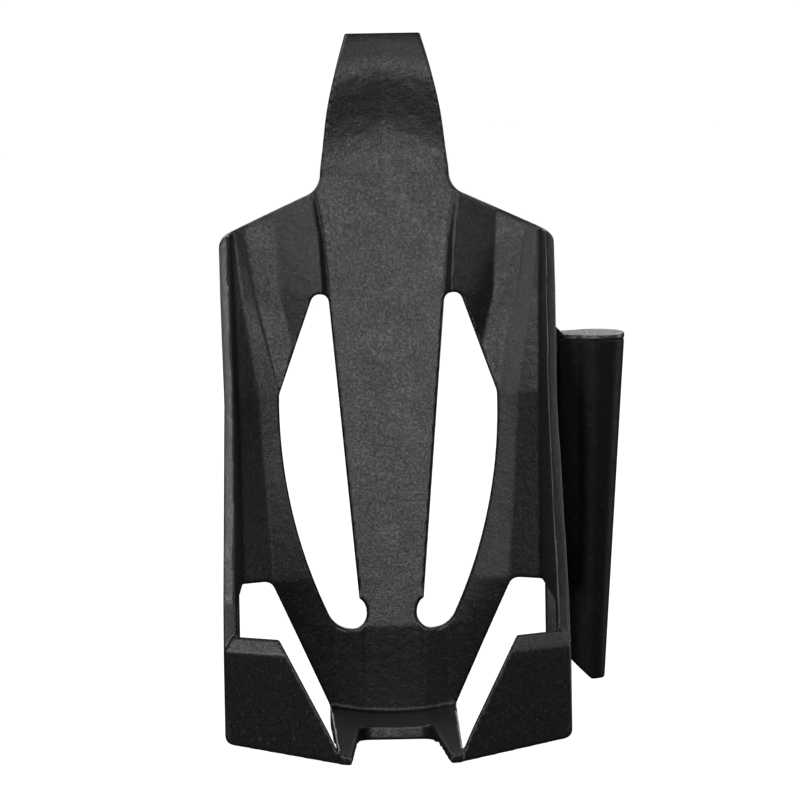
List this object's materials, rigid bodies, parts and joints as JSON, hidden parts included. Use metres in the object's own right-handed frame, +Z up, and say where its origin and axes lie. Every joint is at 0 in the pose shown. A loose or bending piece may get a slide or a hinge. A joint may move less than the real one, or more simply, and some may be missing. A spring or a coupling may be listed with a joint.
{
  "type": "water bottle cage",
  "caption": "Moulded bicycle bottle cage with a neck tongue, windowed back, wrap-round foot blocks and a side tool tube, sliding on a frame rail.",
  "frame": {"origin": "midway between the two frame bolts, on the face of the rail pad that lies on the frame", "axes": "+Z up along the bottle, -Y towards the bottle and the open side, +Y towards the bicycle frame, +X to the side with the tool tube"},
  "size_m": [0.0991, 0.1036, 0.1718],
  "materials": {
    "grained_nylon": "fine spark-eroded grain",
    "gloss_black": "semi-gloss moulded",
    "cap_black": "satin moulded",
    "rail_nylon": "satin moulded",
    "pad_rubber": "matte",
    "stainless": "machined",
    "black_steel": "black oxide",
    "brass": "turned",
    "seal_rubber": "smooth"
  },
  "bodies": {
    "frame_mount": {"frame_rail": "rail_nylon", "rail_pad": "pad_rubber", "frame_bolts": "stainless", "frame_washers": "stainless"},
    "cage": {"cage_body": "grained_nylon", "clamp_nut": "stainless"},
    "clamp_tip": {"clamp_pad": "brass"},
    "clamp_key": {"clamp_screw": "black_steel"},
    "tube": {"tool_tube": "gloss_black"},
    "cap": {"tube_cap": "cap_black", "cap_o_ring": "seal_rubber", "tool_shank": "stainless"}
  },
  "joints": [
    {"name": "cage_slide", "type": "slide", "parent": "frame_mount", "child": "cage", "axis": [0, 0, 1], "range_m": [0, 0.075]},
    {"name": "clamp_advance", "type": "slide", "parent": "cage", "child": "clamp_tip", "axis": [1, 0, 0], "range_m": [0, 0.0008]},
    {"name": "clamp_turn", "type": "hinge", "parent": "clamp_tip", "child": "clamp_key", "pos_m": [0.02, -0.0075, 0.043], "axis": [1, 0, 0], "range_deg": [0, 360]},
    {"name": "tube_slide", "type": "slide", "parent": "cage", "child": "tube", "axis": [0, 0, 1], "range_m": [0, 0.052]},
    {"name": "cap_pull", "type": "slide", "parent": "tube", "child": "cap", "axis": [0, 0, 1], "range_m": [0, 0.06]}
  ],
  "couplings": [
    {"joint": "clamp_turn", "follows": "clamp_advance", "rad_per_m": 7854}
  ]
}
